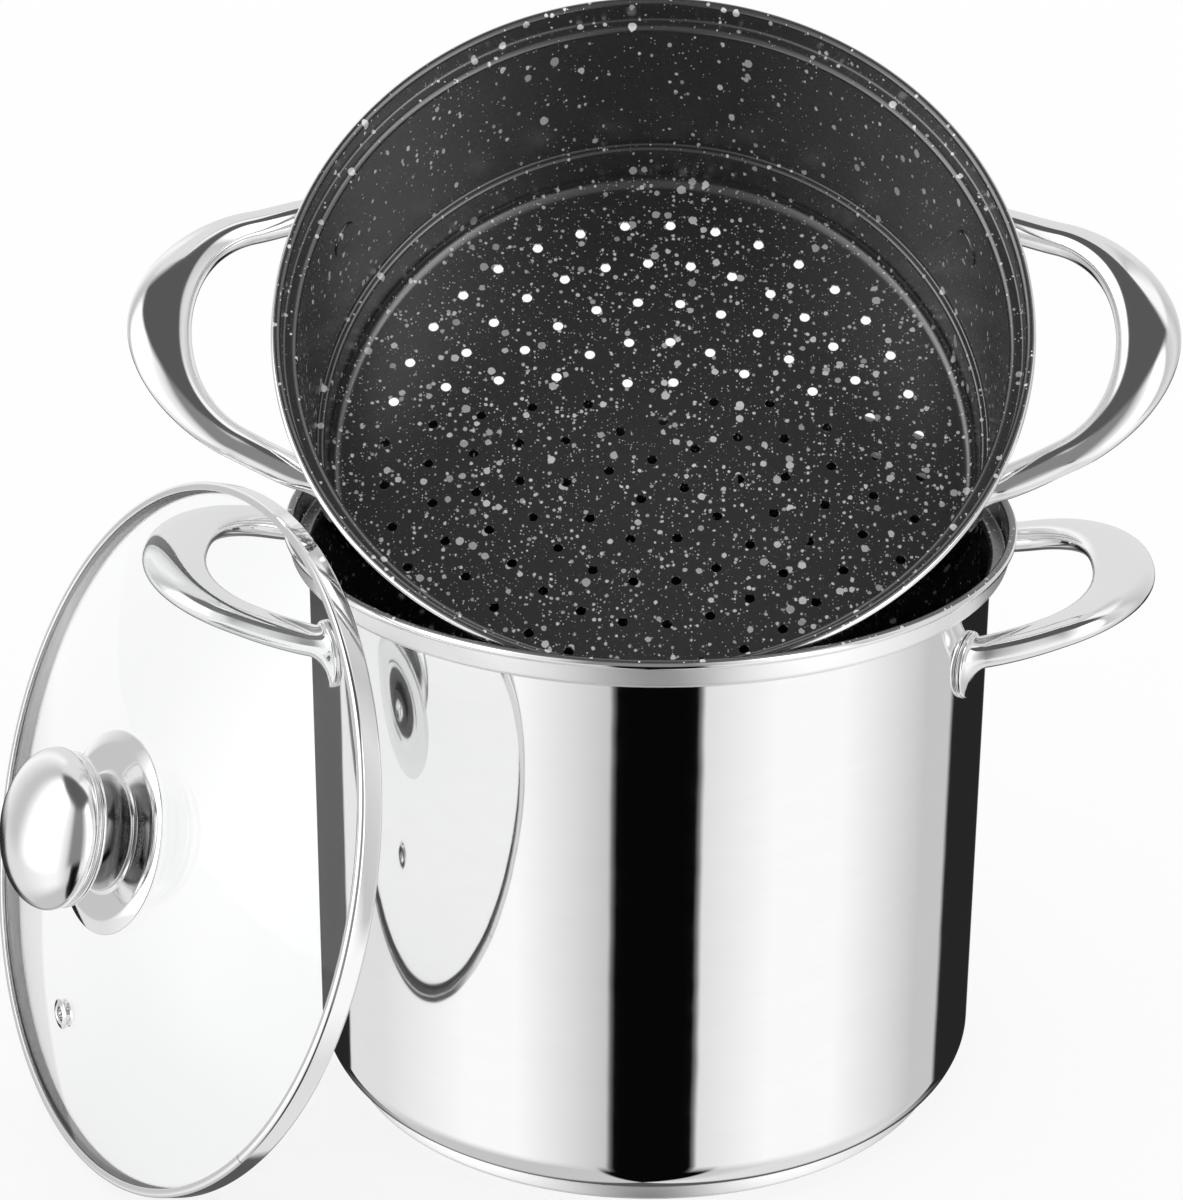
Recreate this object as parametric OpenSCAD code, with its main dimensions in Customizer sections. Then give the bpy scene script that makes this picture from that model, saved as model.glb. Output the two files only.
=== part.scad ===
// Couscoussier: a tall stew pot, the perforated steamer that sits in its mouth, and a glass lid.
// Arrangement: the pot stands at the origin, the steamer leans in its mouth with its open side
// towards -Y, and the lid stands on its edge on the floor and leans on the pot's left handle.
// Millimetres, +Z up, origin on the floor under the middle of the pot. Handles point along X.

/* [Pot] */
// Height of the pot, floor to the top of its rim
pot_h = 215; // [170:1:240]
// Inside diameter of the pot's wall
pot_bore = 240; // [232:1:240]
// Radius of the pot's bottom corner, on the sheet's middle
pot_corner = 14.1; // [8:0.1:25]
// Thickness of the steel sheet of pot and steamer
sheet = 0.8; // [0.6:0.1:1.2]

/* [Mouth] */
// Outside diameter of the rolled rims
rim_d = 258.8; // [256:0.2:264]
// Diameter of the rolled bead
bead_d = 3.2; // [2.4:0.2:4]
// Depth of the lid's seat below the rim, on the sheet's middle
seat_depth = 10.2; // [9:0.2:14]
// Radius of the bends at the seat
seat_bend = 1.6; // [1:0.1:2.4]
// Thickness of the non-stick coating
coat = 0.2; // [0.1:0.05:0.4]
// Angle from the rim's outermost point at which the coating ends
coat_end = 35; // [0:5:70]

/* [Base] */
// Diameter of the steel cap under the pot
cap_d = 223; // [200:1:226]
// Thickness of the cap's sheet
cap_sheet = 0.6; // [0.5:0.1:1]
// Thickness of the aluminium disc
core_t = 4.2; // [3:0.1:6]
// How far the cap's edge rises past the disc
cap_overlap = 0.7; // [0:0.1:1.5]
// Bend of the cap's lower edge
cap_bend = 1.4; // [1:0.1:2.5]

/* [Steamer] */
// Inside diameter of the steamer's upper wall
steamer_bore = 242.8; // [242:0.1:244]
// Depth of the step that seats the steamer in the pot, below its rim
step_depth = 87.2; // [60:0.2:110]
// Depth of the steamer's bottom, below its rim
steamer_depth = 108.5; // [96:0.5:150]
// Outside diameter of the steamer's lower wall
lower_d = 238.4; // [234:0.1:238.8]
// Radius of the steamer's bottom corner, on the sheet's middle
steamer_corner = 5.4; // [3:0.1:8]

/* [Steam holes] */
// Diameter of a steam hole
hole_d = 3.9; // [2.5:0.1:5]
// Distance from one ring of holes to the next
hole_pitch = 16.4; // [12:0.1:17.2]

/* [Handles] */
// Reach of the handles: pot axis to the middle of the grip
grip_x = 168; // [160:1:185]
// Width of the grip at its tip
grip_w = 22; // [16:0.5:26]
// Thickness of the grip
grip_t = 10.6; // [8:0.2:13]
// Half span of the pot's handles, to the middle of the arm
pot_span = 45.8; // [40:0.5:52]
// Width of an arm of the pot's handles
pot_arm = 13.4; // [10:0.2:15]
// Depth of the arms below the pot's rim, at the wall
pot_arm_depth = 30.3; // [26:0.5:40]
// How far the pot's grips rise above their arms
pot_rise = 12.7; // [0:0.5:20]
// Half span of the steamer's handles
steamer_span = 43.9; // [40:0.5:50]
// Width of an arm of the steamer's handles
steamer_arm = 11.4; // [9:0.2:14]
// Depth of the arms below the steamer's rim, at the wall
steamer_arm_depth = 20; // [19:0.5:40]
// How far the steamer's grips rise above their arms
steamer_rise = 13.5; // [0:0.5:18]
// Angle of a handle's feet from the handle's middle
foot_angle = 24.6; // [20:0.2:30]
// Width of a foot
foot_w = 22; // [18:0.5:26]
// Depth of a foot's lower end below the rim
foot_bottom = 47; // [46:0.5:56]
// Thickness of a foot's edge
foot_t = 2.2; // [1.6:0.1:3]

/* [Rivets] */
// Depth of the rivets below the rim
rivet_depth = 37; // [32:0.5:40]
// Diameter of a rivet's head
rivet_head_d = 13.5; // [9:0.5:16]
// Height of a rivet's head
rivet_head_t = 0.9; // [0.6:0.1:1.5]
// Diameter of a rivet's shank
rivet_d = 5; // [4:0.5:7]

/* [Resting steamer] */
// Angle by which the steamer leans in the pot's mouth
lean = 42.9; // [40:0.1:45]

/* [Lid] */
// Outside diameter of the lid's steel band
lid_d = 248; // [244:0.5:250]
// Height of the band
band_h = 8.5; // [6:0.1:10]
// Thickness of the band
band_t = 0.6; // [0.4:0.1:1]
// Bend of the band's edges
band_bend = 1.2; // [0.8:0.1:2]
// Width of the band's upper lip over the glass
lip_w = 2.8; // [2:0.1:4]
// Width of the band's lower lip
seat_lip_w = 4; // [3:0.1:6]
// Rise of the glass from the band to its middle
glass_rise = 23.5; // [15:0.5:35]
// Thickness of the glass
glass_t = 3.6; // [3:0.1:5]
// Distance of the vent from the lid's middle
vent_r = 75.6; // [50:0.1:95]
// Flange diameter of the vent's eyelet
vent_flange_d = 10.8; // [9:0.2:14]
// Inside diameter of the vent
vent_d = 5; // [3:0.2:6]
// Angle of the lid's lean, from upright
lid_lean = 18.8; // [10:0.1:26]
// Direction that the lid's knob faces, from +X
lid_turn = 213.8; // [205:0.2:222]
// Sideways shift of the lid along its own plane
lid_shift = 32.4; // [20:0.1:40]

/* [Knob] */
// Diameter of the knob's domed top
knob_d = 55.8; // [40:0.2:64]
// Height of the dome alone
dome_h = 14.6; // [10:0.2:24]
// Height of the knob's widest circle above the middle of the glass
knob_h = 20.5; // [16:0.5:30]
// Diameter of the saucer under the knob
saucer_d = 70.6; // [60:0.2:80]
// Thickness of the knob's sheet
knob_sheet = 0.8; // [0.6:0.1:1.2]
// Diameter of the knob's neck at its thinnest
neck_d = 27; // [22:0.5:34]
// Diameter of the screw's thread
screw_d = 5; // [4:0.5:6]

/* [Hidden] */

steel = "#d4d6d8";
coating_black = "#2b2a2a";
aluminium = "#b4b6b8";
glass_tint = "#cfdad866";
silicone = "#55585a";

// Clearance between pieces that lie on each other without being pressed together
rest_gap = 0.15;
// Clearance between a riveted foot and the wall it is bent to
foot_gap = 0.06;
// Points in a bend, and in a handle's section
bend_n = 7;
ring_n = 20;

// Radii of the sheet's middle
pot_mid = (pot_bore + sheet) / 2;
steamer_mid = (steamer_bore + sheet) / 2;
lower_mid = (lower_d - sheet) / 2;
bead_r = bead_d / 2;
bead_at = rim_d / 2 - bead_r;
// The sheet stands a little inside the bead's inner side, so that the bead is cut by it, not touched
seat_mid = rim_d / 2 - bead_d + sheet / 2 + 0.1;

// Bottom of the pot's sheet, on its middle
pot_floor = cap_sheet + core_t + sheet / 2;

// Rings of steam holes: number in each ring, and the turn of its first hole
hole_counts = [6, 12, 20, 26, 32, 36];
hole_turns = [16.8, 17.1, 11, 12.5, 2, 6.9];

// Helpers

function arc(centre, r, from, to, n = bend_n) =
    [for (i = [0:n]) centre + r * [cos(from + (to - from) * i / n), sin(from + (to - from) * i / n)]];

function unit(v) = v / norm(v);
function mix(a, b, t) = a + (b - a) * t;
function reverse(list) = [for (i = [len(list) - 1:-1:0]) list[i]];

// Direction along a path of points at point i
function heading(path, i) =
    unit(path[min(i + 1, len(path) - 1)] - path[max(i - 1, 0)]);

// A path moved sideways by d, to the left of its direction
function beside(path, d) =
    [for (i = [0:len(path) - 1]) let (h = heading(path, i)) path[i] + d * [-h[1], h[0]]];

// Closed outline of a sheet of thickness t whose middle follows a path
function strip(path, t) = concat(beside(path, -t / 2), reverse(beside(path, t / 2)));

// Middle of the sheet from the rim to the end of the seat. Heights are measured from the rim's top.
function mouth_path(wall) = concat(
    [[seat_mid, -bead_r], [seat_mid, -bead_r - sqrt(pow(bead_r, 2) - pow(bead_r - 0.1, 2))]],
    arc([seat_mid - seat_bend, -seat_depth + seat_bend], seat_bend, 0, -90),
    arc([wall + seat_bend, -seat_depth - seat_bend], seat_bend, 90, 180));

// Middle of a bottom that starts with a round corner and ends on the axis
function floor_path(wall, corner, depth) = concat(
    arc([wall - corner, -depth + corner], corner, 0, -90, 12),
    [[0, -depth]]);

pot_path = concat(mouth_path(pot_mid), floor_path(pot_mid, pot_corner, pot_h - pot_floor));

steamer_path = concat(
    mouth_path(steamer_mid),
    arc([steamer_mid - seat_bend, -step_depth + seat_bend], seat_bend, 0, -90),
    arc([lower_mid + seat_bend * 0.6, -step_depth - seat_bend * 0.6], seat_bend * 0.6, 90, 180),
    floor_path(lower_mid, steamer_corner, steamer_depth));

// Points of a path whose radius is kept at or above zero, so that a strip ends on the axis
function on_axis(points) = [for (p = points) [max(p[0], 0), p[1]]];

module revolve() {
    rotate_extrude($fn = 180) children();
}

module vessel(path) {
    revolve() {
        polygon(on_axis(strip(path, sheet)));
        translate([bead_at, -bead_r]) circle(r = bead_r, $fn = 48);
    }
}

// The coating lies on the inside of the sheet and over the top of the rim
module coating_skin(path) {
    over_rim = arc([bead_at, -bead_r], bead_r, coat_end, 180, 12);
    on_top = arc([bead_at, -bead_r], bead_r + coat, coat_end, 180, 12);
    below = [for (p = path) if (p[1] < -bead_r - 0.1) p];
    revolve() polygon(on_axis(concat(
        on_top, beside(below, -sheet / 2 - coat),
        reverse(beside(below, -sheet / 2)), reverse(over_rim))));
}

// Places on the wall where the rivets of both handles go, along +X
module at_rivets() {
    for (side = [0, 180], foot = [-1, 1])
        rotate([0, 0, side + foot * foot_angle])
            translate([0, 0, -rivet_depth])
                rotate([0, 90, 0]) children();
}

module rivet_holes(d) {
    at_rivets() cylinder(d = d, h = rim_d, $fn = 48);
}

// Rivets: a flat head bent to the wall's inside, and a shank that ends in the foot
module rivets(wall) {
    inside = wall - sheet / 2;
    intersection() {
        rivet_holes(rivet_head_d);
        translate([0, 0, -pot_h]) difference() {
            cylinder(r = inside, h = pot_h, $fn = 180);
            translate([0, 0, -1]) cylinder(r = inside - rivet_head_t, h = pot_h + 2, $fn = 180);
        }
    }
    intersection() {
        rivet_holes(rivet_d);
        translate([0, 0, -pot_h]) difference() {
            cylinder(r = wall + sheet / 2 + shank_reach, h = pot_h, $fn = 180);
            translate([0, 0, -1]) cylinder(r = inside - rivet_head_t / 2, h = pot_h + 2, $fn = 180);
        }
    }
}
// How far a shank goes into the foot
shank_reach = foot_t - 0.4;

// Handles: one closed skin swept from foot to foot. Stations are numbered from -loop_n to loop_n.

loop_n = 14;
// Squareness of the loop in plan: 2 is an ellipse
function loop_x(start, square, a) = start + (grip_x - start) * pow(max(cos(a), 0), 2 / square);
function loop_y(span, square, a) = span * sign(a) * pow(abs(sin(a)), 2 / square);

// Middle of the loop at angle a, from -90 to 90, with its height falling towards the wall
function loop_point(g, a) =
    let (x = loop_x(g[4], g[5], a), share = (x - g[0]) / (grip_x - g[0]))
    [x, loop_y(g[1], g[5], a), -g[3] + g[6] * share];

// Half width of the section at angle a
function loop_half(g, a) =
    let (share = (loop_x(g[4], g[5], a) - g[0]) / (grip_x - g[0]))
    mix(g[2] / 2, grip_w / 2, pow(share, g[7]));

// Outward and upward directions of the section
function loop_axes(g, a) =
    let (along = unit(loop_point(g, min(a + 1, 89)) - loop_point(g, max(a - 1, -89))),
         out = unit(cross(along, [0, 0, 1])))
    [out, cross(out, along)];

function loop_ring(g, a) =
    let (middle = loop_point(g, a), axes = loop_axes(g, a), half = loop_half(g, a))
    [for (k = [0:ring_n - 1]) let (t = 360 * k / ring_n)
        middle + half * cos(t) * axes[0] + grip_t / 2 * sin(t) * axes[1]];

// Outline of a foot on the wall, at a height off the wall and a scale
function foot_ring(g, side, off, size) =
    let (top = g[3] - g[2] / 2 - 1, high = (foot_bottom - top) / 2, r = g[0] + off)
    [for (k = [0:ring_n - 1])
        let (t = 360 * k / ring_n,
             turn = side * (foot_angle + size * foot_w / 2 * cos(t) / g[0] * 180 / PI))
        [r * cos(turn), r * sin(turn), -(top + high) + size * high * sin(t)]];

// Joins a foot to the first ring of the loop: share 0 is the foot, 1 the loop
function foot_to_loop(g, side, share) =
    let (foot = foot_ring(g, side, foot_t * 1.3 + share * 3, 0.8 - 0.2 * share),
         loop = loop_ring(g, side * loop_start))
    [for (k = [0:ring_n - 1]) mix(foot[k], loop[k], share)];

loop_start = 86;
foot_shares = [0.35, 0.7];

function end_rings(g, side) = concat(
    [foot_ring(g, side, foot_gap, 0.5), foot_ring(g, side, foot_gap, 0.96),
     foot_ring(g, side, foot_t * 0.35, 1), foot_ring(g, side, foot_t * 0.8, 0.98),
     foot_ring(g, side, foot_t * 1.1, 0.9)],
    [for (s = foot_shares) foot_to_loop(g, side, s)]);

function handle_rings(g) = concat(
    end_rings(g, -1),
    [for (i = [-loop_n:loop_n]) loop_ring(g, loop_start * i / loop_n)],
    reverse(end_rings(g, 1)));

// Faces of a skin through rings of ring_n points, closed by a fan at each end
function skin_faces(n) =
    let (first = n * ring_n, last = first + 1)
    concat(
        [for (r = [0:n - 2], k = [0:ring_n - 1]) let (k2 = (k + 1) % ring_n)
            [r * ring_n + k, r * ring_n + k2, (r + 1) * ring_n + k2]],
        [for (r = [0:n - 2], k = [0:ring_n - 1]) let (k2 = (k + 1) % ring_n)
            [r * ring_n + k, (r + 1) * ring_n + k2, (r + 1) * ring_n + k]],
        [for (k = [0:ring_n - 1]) [first, (k + 1) % ring_n, k]],
        [for (k = [0:ring_n - 1]) [last, (n - 1) * ring_n + k, (n - 1) * ring_n + (k + 1) % ring_n]]);

// A handle on +X. g: wall, span, arm width, arm depth, start of the loop, squareness, rise, widening
module handle(g) {
    rings = handle_rings(g);
    top = g[3] - g[2] / 2 - 1;
    ends = [for (side = [-1, 1]) let (r = g[0] + foot_gap, t = side * foot_angle)
        [r * cos(t), r * sin(t), -(top + foot_bottom) / 2]];
    difference() {
        polyhedron(points = concat([for (r = rings, p = r) p], ends), faces = skin_faces(len(rings)));
        for (side = [-1, 1]) rotate([0, 0, side * foot_angle])
            translate([g[0] - 1, 0, -rivet_depth])
                rotate([0, 90, 0]) cylinder(d = rivet_d, h = shank_reach + 1, $fn = 48);
    }
}

pot_grip = [pot_mid + sheet / 2, pot_span, pot_arm, pot_arm_depth, pot_bore / 2 + 5.2, 2.28, pot_rise, 1.75];
steamer_grip = [steamer_mid + sheet / 2, steamer_span, steamer_arm, steamer_arm_depth,
    steamer_bore / 2 + 7.6, 1.85, steamer_rise, 3.5];

// Places of the three things

module in_pot() {
    translate([0, 0, pot_h]) children();
}

// The steamer's bead rests on the seat at the front, and its bottom corner on the mouth's edge at
// both sides. The corner's circle is cut at the seat's height to find how far it stands from the axis.
contact_z = pot_h - seat_depth + sheet / 2 + coat;
contact_r = pot_bore / 2 - 0.1;
corner_r = lower_d / 2 - steamer_corner * 0.35;
corner_drop = steamer_depth - steamer_corner * 0.35;
steamer_z = contact_z + bead_r + rest_gap + (bead_at * sin(lean)) + bead_r * cos(lean) + 0.9;
corner_sin = (contact_z - steamer_z + corner_drop * cos(lean)) / (corner_r * sin(lean));
corner_x = corner_r * sqrt(1 - corner_sin * corner_sin);
steamer_y = sqrt(pow(contact_r, 2) - pow(corner_x, 2))
    - corner_r * corner_sin * cos(lean) - corner_drop * sin(lean) - rest_gap;

module in_steamer() {
    translate([0, steamer_y, steamer_z]) rotate([lean, 0, 0]) children();
}

// The lid stands on its band's lower edge, and the inside of its glass leans on the left grip.
// The grip's points lie inside the sphere of the glass; the nearest one sets how far out it stands.
lid_normal = [cos(lid_turn) * cos(lid_lean), sin(lid_turn) * cos(lid_lean), sin(lid_lean)];
glass_edge = lid_d / 2 - lip_w;
glass_r = (pow(glass_edge, 2) + pow(glass_rise, 2)) / (2 * glass_rise);
glass_top = band_h - band_t + glass_rise;
lid_away = [cos(lid_turn), sin(lid_turn), 0];
lid_at = [lid_shift * sin(lid_turn), -lid_shift * cos(lid_turn), lid_d / 2 * cos(lid_lean)];
lid_out = max([for (ring = handle_rings(pot_grip), p = ring)
    let (d = [-p[0], p[1], p[2] + pot_h] - lid_at - (glass_top - glass_r) * lid_normal, along = d * lid_away)
    along - sqrt(along * along - d * d + pow(glass_r - glass_t - rest_gap * 2, 2))]);

module in_lid() {
    translate(lid_at + lid_out * lid_away) rotate([0, 90 - lid_lean, lid_turn]) children();
}

// Pot

module pot_body() {
    color(steel) in_pot() difference() {
        vessel(pot_path);
        rivet_holes(rivet_d);
    }
}

module pot_coating() {
    color(coating_black) in_pot() difference() {
        coating_skin(pot_path);
        rivet_holes(rivet_head_d);
    }
}

// Middle of the cap's sheet, from its upper edge to the axis
cap_path = concat(
    [[(cap_d - cap_sheet) / 2, cap_sheet + core_t + cap_overlap]],
    arc([(cap_d - cap_sheet) / 2 - cap_bend, cap_sheet / 2 + cap_bend], cap_bend, 0, -90),
    [[0, cap_sheet / 2]]);

// The aluminium disc fills the cap up to the pot's bottom
module base_core() {
    top = cap_sheet + core_t;
    inside = beside(cap_path, -cap_sheet / 2);
    color(aluminium) revolve() polygon(on_axis(concat(
        [[0, top], [inside[0][0], top]], [for (i = [1:len(inside) - 1]) inside[i]])));
}

module base_cap() {
    color(steel) revolve() polygon(on_axis(strip(cap_path, cap_sheet)));
}

module pot_handle_right() {
    color(steel) in_pot() handle(pot_grip);
}

module pot_handle_left() {
    color(steel) in_pot() mirror([1, 0, 0]) handle(pot_grip);
}

module pot_rivets() {
    color(steel) in_pot() rivets(pot_mid);
}

// Steamer

module steam_holes() {
    translate([0, 0, -steamer_depth - 2]) {
        cylinder(d = hole_d, h = 4, $fn = 24);
        for (ring = [1:len(hole_counts)], i = [0:hole_counts[ring - 1] - 1])
            rotate([0, 0, hole_turns[ring - 1] + 360 * i / hole_counts[ring - 1]])
                translate([ring * hole_pitch, 0, 0]) cylinder(d = hole_d, h = 4, $fn = 24);
    }
}

module steamer_body() {
    color(steel) in_steamer() difference() {
        vessel(steamer_path);
        rivet_holes(rivet_d);
        steam_holes();
    }
}

module steamer_coating() {
    color(coating_black) in_steamer() difference() {
        coating_skin(steamer_path);
        rivet_holes(rivet_head_d);
        steam_holes();
    }
}

module steamer_handle_right() {
    color(steel) in_steamer() handle(steamer_grip);
}

module steamer_handle_left() {
    color(steel) in_steamer() mirror([1, 0, 0]) handle(steamer_grip);
}

module steamer_rivets() {
    color(steel) in_steamer() rivets(steamer_mid);
}

// Lid. Its own frame has +Z out through the knob, with the band's lower edge at z = 0.

module glass_shell(outer, inner, r) {
    rotate_extrude($fn = 180) intersection() {
        translate([0, glass_top - glass_r]) difference() {
            circle(r = glass_r - outer, $fn = 360);
            circle(r = glass_r - inner, $fn = 360);
        }
        square([r, glass_top + 1]);
    }
}

module at_vent() {
    tip = asin(vent_r / glass_r);
    rotate([0, 0, vent_turn]) translate([0, 0, glass_top - glass_r]) rotate([0, tip, 0])
        translate([0, 0, glass_r]) children();
}
// Turn of the vent round the lid's middle
vent_turn = -9.9;

// Inside of the band, where the glass ends
glass_end = lid_d / 2 - band_t - 0.6;
insert_d = 10;
vent_tube = vent_d + 1.2;

module lid_glass() {
    color(glass_tint) in_lid() difference() {
        glass_shell(0, glass_t, glass_end);
        cylinder(d = insert_d, h = glass_top + 1, $fn = 64);
        at_vent() translate([0, 0, -glass_t - 5]) cylinder(d = vent_tube, h = glass_t + 10, $fn = 48);
    }
}

// Middle of the band's sheet: lower lip, side and upper lip
band_path = concat(
    [[lid_d / 2 - seat_lip_w, band_t / 2]],
    arc([lid_d / 2 - band_t / 2 - band_bend, band_t / 2 + band_bend], band_bend, -90, 0),
    arc([lid_d / 2 - band_t / 2 - band_bend, band_h - band_t / 2 - band_bend], band_bend, 0, 90),
    [[lid_d / 2 - lip_w, band_h - band_t / 2]]);

module lid_rim() {
    color(steel) in_lid() revolve() polygon(strip(band_path, band_t));
}

// Silicone that fills the band under and behind the edge of the glass
module lid_seal() {
    color(silicone) in_lid() rotate_extrude($fn = 180) difference() {
        polygon(beside(band_path, band_t / 2));
        intersection() {
            translate([0, glass_top - glass_r]) difference() {
                circle(r = glass_r + 5, $fn = 360);
                circle(r = glass_r - glass_t, $fn = 360);
            }
            square([glass_end, band_h]);
        }
    }
}

module vent_eyelet() {
    flange_t = 0.5;
    bow = glass_r - sqrt(pow(glass_r, 2) - pow(vent_flange_d / 2, 2));
    under = -glass_t - bow;
    color(steel) in_lid() at_vent() revolve() {
        translate([vent_d / 2, under - flange_t]) square([(vent_tube - vent_d) / 2, flange_t * 2 + 1 - under]);
        translate([vent_d / 2, 0]) square([(vent_flange_d - vent_d) / 2, flange_t]);
        translate([vent_d / 2, under - flange_t]) square([(vent_flange_d - vent_d) / 2 - 0.4, flange_t]);
    }
}

// Knob, on the lid's axis. Heights are measured from the middle of the glass.

module on_knob() {
    in_lid() translate([0, 0, glass_top]) children();
}

gasket_t = 0.6;
washer_d = 18;
washer_t = 1;
// How far the screw goes into the boss
screw_reach = 12;
// Height at which the inner gasket's outer edge meets the underside of the glass
inner_z = sqrt(pow(glass_r - glass_t, 2) - pow(washer_d / 2, 2)) - glass_r;
half_sheet = knob_sheet / 2;
// Height of the glass at a radius
function glass_z(r) = sqrt(pow(glass_r, 2) - pow(r, 2)) - glass_r;

// Middle of the saucer's raised centre, and the radius where it ends
plateau_z = gasket_t + half_sheet;
plateau_r = saucer_d * 0.28;
// Width of the bevel round the saucer
bevel_w = 3.6;

module knob_saucer() {
    r = saucer_d / 2 - half_sheet;
    fold = r - bevel_w;
    path = concat(
        [[insert_d / 2, plateau_z], [plateau_r, plateau_z], [plateau_r + 1.6, plateau_z - 0.7]],
        [[fold - 1, glass_z(fold) + 1.65], [fold, glass_z(fold) + 1.45]],
        [[r, glass_z(r) + half_sheet + rest_gap + 0.1]]);
    color(steel) on_knob() revolve() polygon(strip(path, knob_sheet));
}

// Waisted neck: a half circle between the saucer and a flange that ends in a small bead
neck_bead = 0.9;
neck_z = plateau_z + knob_sheet;
neck_top = knob_h - 5;
module knob_neck() {
    throat = (neck_top - neck_z) / 2;
    waist = neck_d / 2 - half_sheet + throat;
    path = concat(
        arc([waist, neck_z + throat], throat, -90, -270, 16),
        [[knob_d / 2 - 1.7, neck_top]]);
    color(steel) on_knob() revolve() {
        polygon(strip(path, knob_sheet));
        translate([knob_d / 2 - 2, neck_top]) circle(r = neck_bead, $fn = 32);
    }
}

// Dome, drawn in under its widest circle and closed by a second bead that lies on the neck's
module knob_cap() {
    r = knob_d / 2 - half_sheet;
    lip_r = 0.55;
    lip_z = neck_top + neck_bead + lip_r;
    path = concat(
        [[r - 1.6, lip_z], [r - 1.5, lip_z + 0.8], [r - 0.4, knob_h - 1.4]],
        [for (i = [-1:20]) [r * cos(i * 4.5), knob_h + (dome_h - half_sheet) * sin(i * 4.5)]]);
    color(steel) on_knob() revolve() {
        polygon(on_axis(strip(path, knob_sheet)));
        translate([r - 1.6, lip_z]) circle(r = lip_r, $fn = 32);
    }
}

// Threaded boss that carries the dome and takes the screw
module knob_insert() {
    share = insert_d / (knob_d - 2 * knob_sheet);
    reach = knob_h + (dome_h - knob_sheet) * sqrt(1 - share * share) - 0.03;
    color(aluminium) on_knob() difference() {
        translate([0, 0, inner_z]) cylinder(d = insert_d, h = reach - inner_z, $fn = 64);
        translate([0, 0, inner_z - 1]) cylinder(d = screw_d, h = screw_reach + 1, $fn = 48);
    }
}

module knob_gasket() {
    color(silicone) on_knob() difference() {
        cylinder(d = 2 * plateau_r - 6, h = gasket_t, $fn = 96);
        translate([0, 0, -1]) cylinder(d = insert_d, h = gasket_t + 2, $fn = 64);
    }
}

module glass_gasket() {
    color(silicone) on_knob() translate([0, 0, inner_z - gasket_t]) difference() {
        cylinder(d = washer_d, h = gasket_t, $fn = 96);
        translate([0, 0, -1]) cylinder(d = screw_d, h = gasket_t + 2, $fn = 48);
    }
}

module knob_washer() {
    color(steel) on_knob() translate([0, 0, inner_z - gasket_t - washer_t]) difference() {
        cylinder(d = washer_d - 2, h = washer_t, $fn = 96);
        translate([0, 0, -1]) cylinder(d = screw_d, h = washer_t + 2, $fn = 48);
    }
}

// Pan-head screw with a cross recess, from the inside of the lid
module knob_screw() {
    head_d = screw_d * 1.9;
    head_h = screw_d * 0.6;
    under = inner_z - gasket_t - washer_t;
    color(steel) on_knob() difference() {
        union() {
            translate([0, 0, under]) cylinder(d = screw_d, h = screw_reach + gasket_t + washer_t, $fn = 48);
            translate([0, 0, under]) rotate([180, 0, 0]) rotate_extrude($fn = 48) intersection() {
                translate([0, head_h - screw_d * 1.15]) circle(r = screw_d * 1.15, $fn = 96);
                square([head_d / 2, head_h]);
            }
        }
        for (turn = [0, 90]) rotate([0, 0, turn])
            translate([-screw_d * 0.4, -0.45, under - head_h - 1]) cube([screw_d * 0.8, 0.9, 2.4]);
    }
}

pot_body();
pot_coating();
base_core();
base_cap();
pot_handle_left();
pot_handle_right();
pot_rivets();
steamer_body();
steamer_coating();
steamer_handle_left();
steamer_handle_right();
steamer_rivets();
lid_glass();
lid_rim();
lid_seal();
vent_eyelet();
knob_cap();
knob_neck();
knob_saucer();
knob_insert();
knob_gasket();
glass_gasket();
knob_washer();
knob_screw();
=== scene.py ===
import math

import bpy
import bmesh
from mathutils import Matrix, Vector
from mathutils.geometry import delaunay_2d_cdt


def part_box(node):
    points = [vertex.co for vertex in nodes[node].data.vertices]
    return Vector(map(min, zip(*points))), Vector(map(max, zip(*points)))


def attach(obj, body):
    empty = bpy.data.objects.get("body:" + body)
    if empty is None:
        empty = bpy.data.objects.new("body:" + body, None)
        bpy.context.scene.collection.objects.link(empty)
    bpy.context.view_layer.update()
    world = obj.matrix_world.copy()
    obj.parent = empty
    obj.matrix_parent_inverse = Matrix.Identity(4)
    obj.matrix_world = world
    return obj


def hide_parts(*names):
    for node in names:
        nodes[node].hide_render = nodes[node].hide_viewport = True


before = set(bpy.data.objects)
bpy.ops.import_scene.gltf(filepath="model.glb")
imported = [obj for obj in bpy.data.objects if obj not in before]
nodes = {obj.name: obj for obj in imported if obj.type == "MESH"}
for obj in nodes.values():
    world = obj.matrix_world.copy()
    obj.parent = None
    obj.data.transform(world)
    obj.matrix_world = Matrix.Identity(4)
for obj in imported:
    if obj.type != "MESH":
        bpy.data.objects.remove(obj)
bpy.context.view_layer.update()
scene = bpy.context.scene

# Sizes in millimetres and angles in degrees, as in part.scad, but for LEAN, which is in radians here
POT_H = 215.0
SHEET = 0.8
RIM_R = 129.4
BEAD_R = 1.6
BEAD_AT = RIM_R - BEAD_R
SEAT_DEPTH = 10.2
SEAT_BEND = 1.6
COAT = 0.2
POT_MID = 120.4
POT_CORNER = 14.1
SEAT_MID = RIM_R - 2 * BEAD_R + SHEET / 2 + 0.1
CAP_SHEET = 0.6
CAP_R = 111.5
CORE_T = 4.2
POT_FLOOR = CAP_SHEET + CORE_T + SHEET / 2
STEAMER_MID = 121.8
LOWER_MID = 118.8
STEP_DEPTH = 87.2
STEAMER_DEPTH = 108.5
STEAMER_CORNER = 5.4
HOLE_D = 3.9
HOLE_PITCH = 16.4
HOLE_COUNTS = [6, 12, 20, 26, 32, 36]
HOLE_TURNS = [16.8, 17.1, 11.0, 12.5, 2.0, 6.9]
GRIP_X = 168.0
GRIP_W = 22.0
GRIP_T = 10.6
FOOT_ANGLE = 24.6
FOOT_W = 22.0
FOOT_BOTTOM = 47.0
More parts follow.
